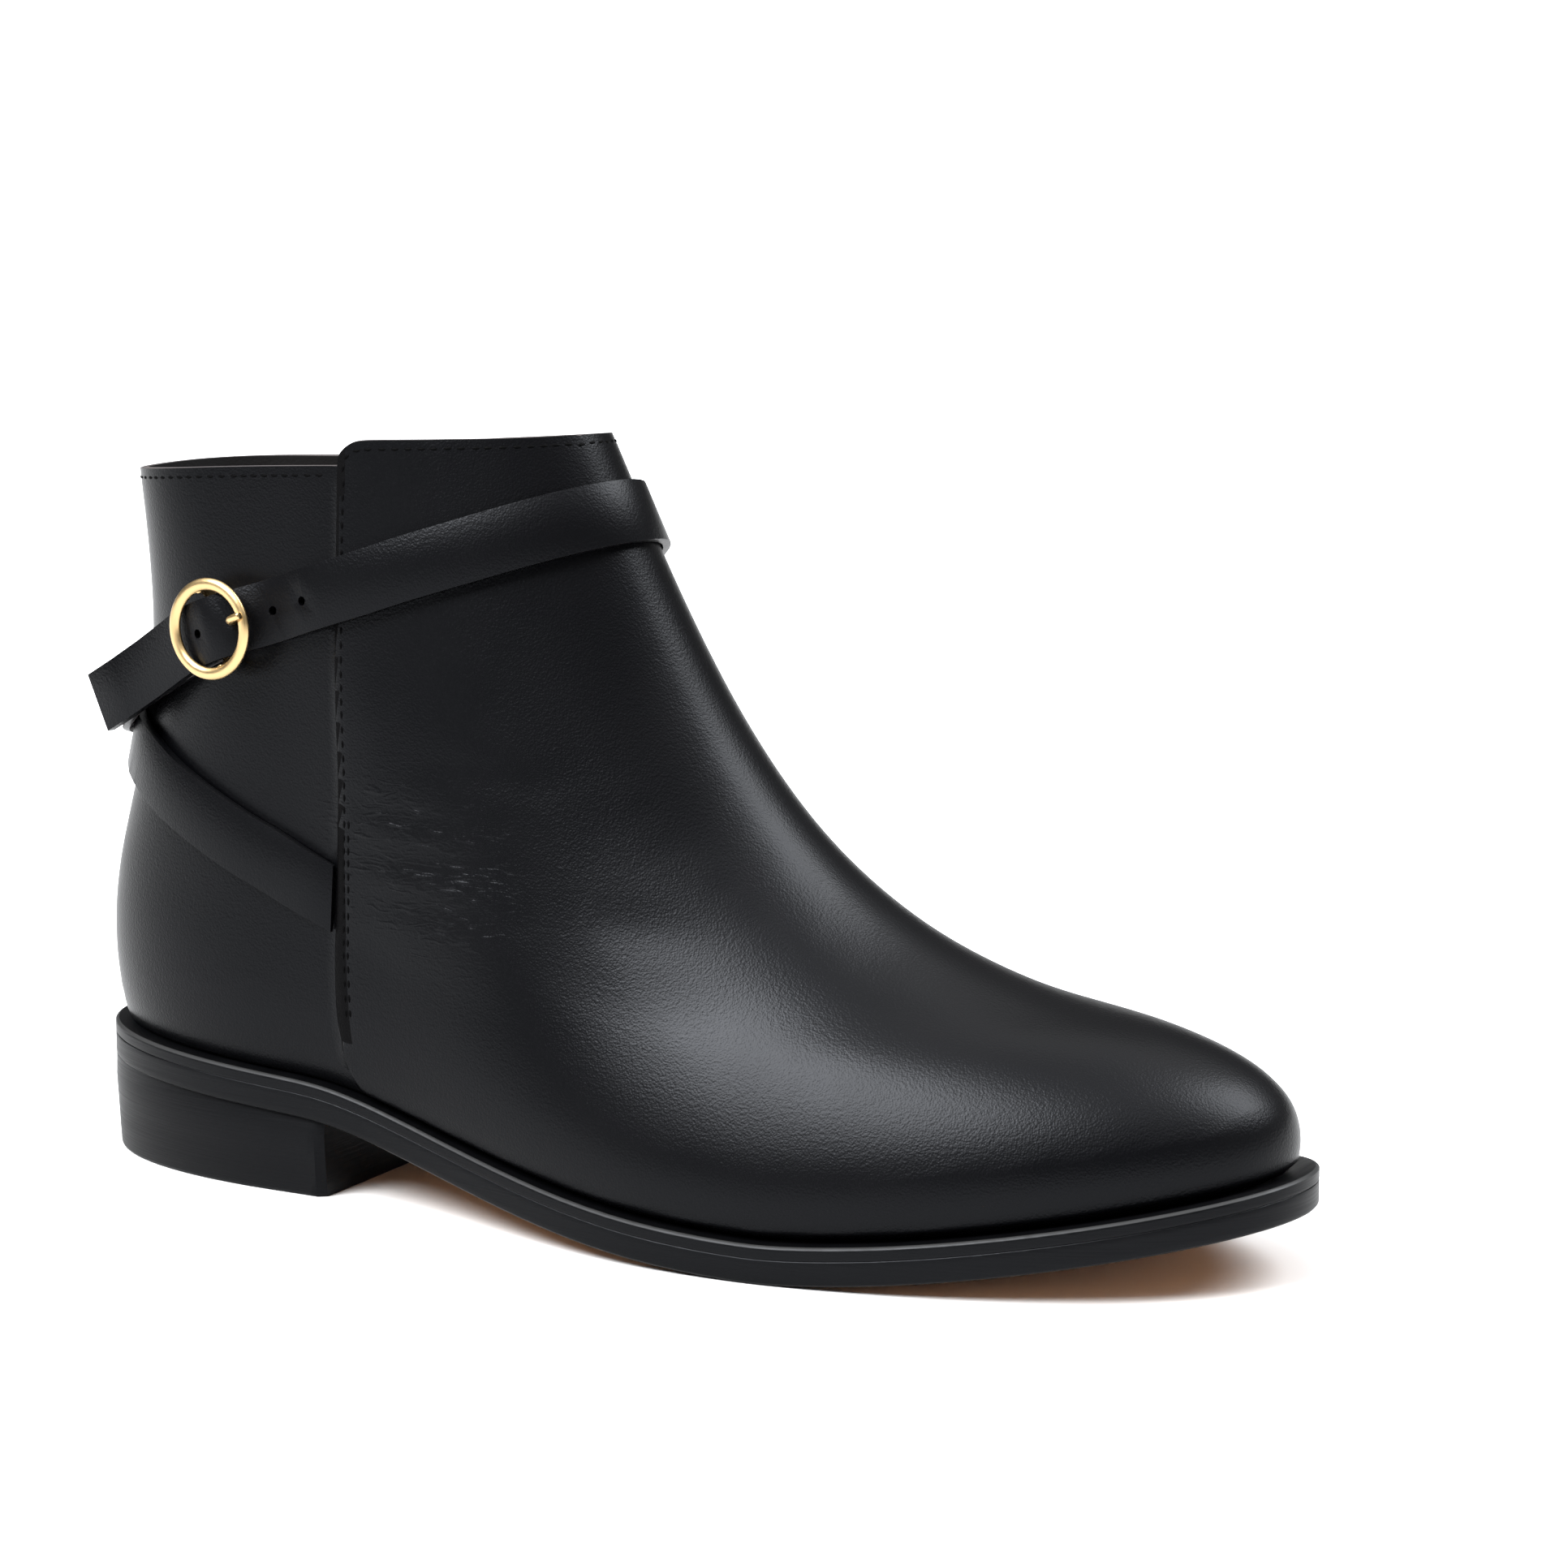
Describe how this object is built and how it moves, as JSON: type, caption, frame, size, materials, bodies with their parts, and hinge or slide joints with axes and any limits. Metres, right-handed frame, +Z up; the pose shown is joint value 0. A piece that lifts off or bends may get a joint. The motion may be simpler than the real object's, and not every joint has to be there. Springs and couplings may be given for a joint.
{
  "type": "jodhpur boot",
  "caption": "Right ankle boot of smooth black leather with a low stacked heel, crossed ankle straps and a round buckle on the outer side.",
  "frame": {"origin": "middle of the heel's bottom face, on the floor, 35 mm in front of the back of the heel", "axes": "+X from heel to toe, +Y to the inner (medial) side, +Z up"},
  "size_m": [0.2695, 0.0905, 0.1555],
  "materials": {
    "calf": "smooth black calf, satin",
    "edge": "black edge dressing",
    "insole": "matt black lining leather",
    "brass": "satin pale gold"
  },
  "bodies": {
    "root": {"heel": "edge", "outsole": "edge", "welt": "edge", "insole": "insole", "upper": "calf", "ankle_strap": "calf", "buckle_strap": "calf", "buckle_frame": "brass", "buckle_prong": "brass"}
  },
  "joints": []
}
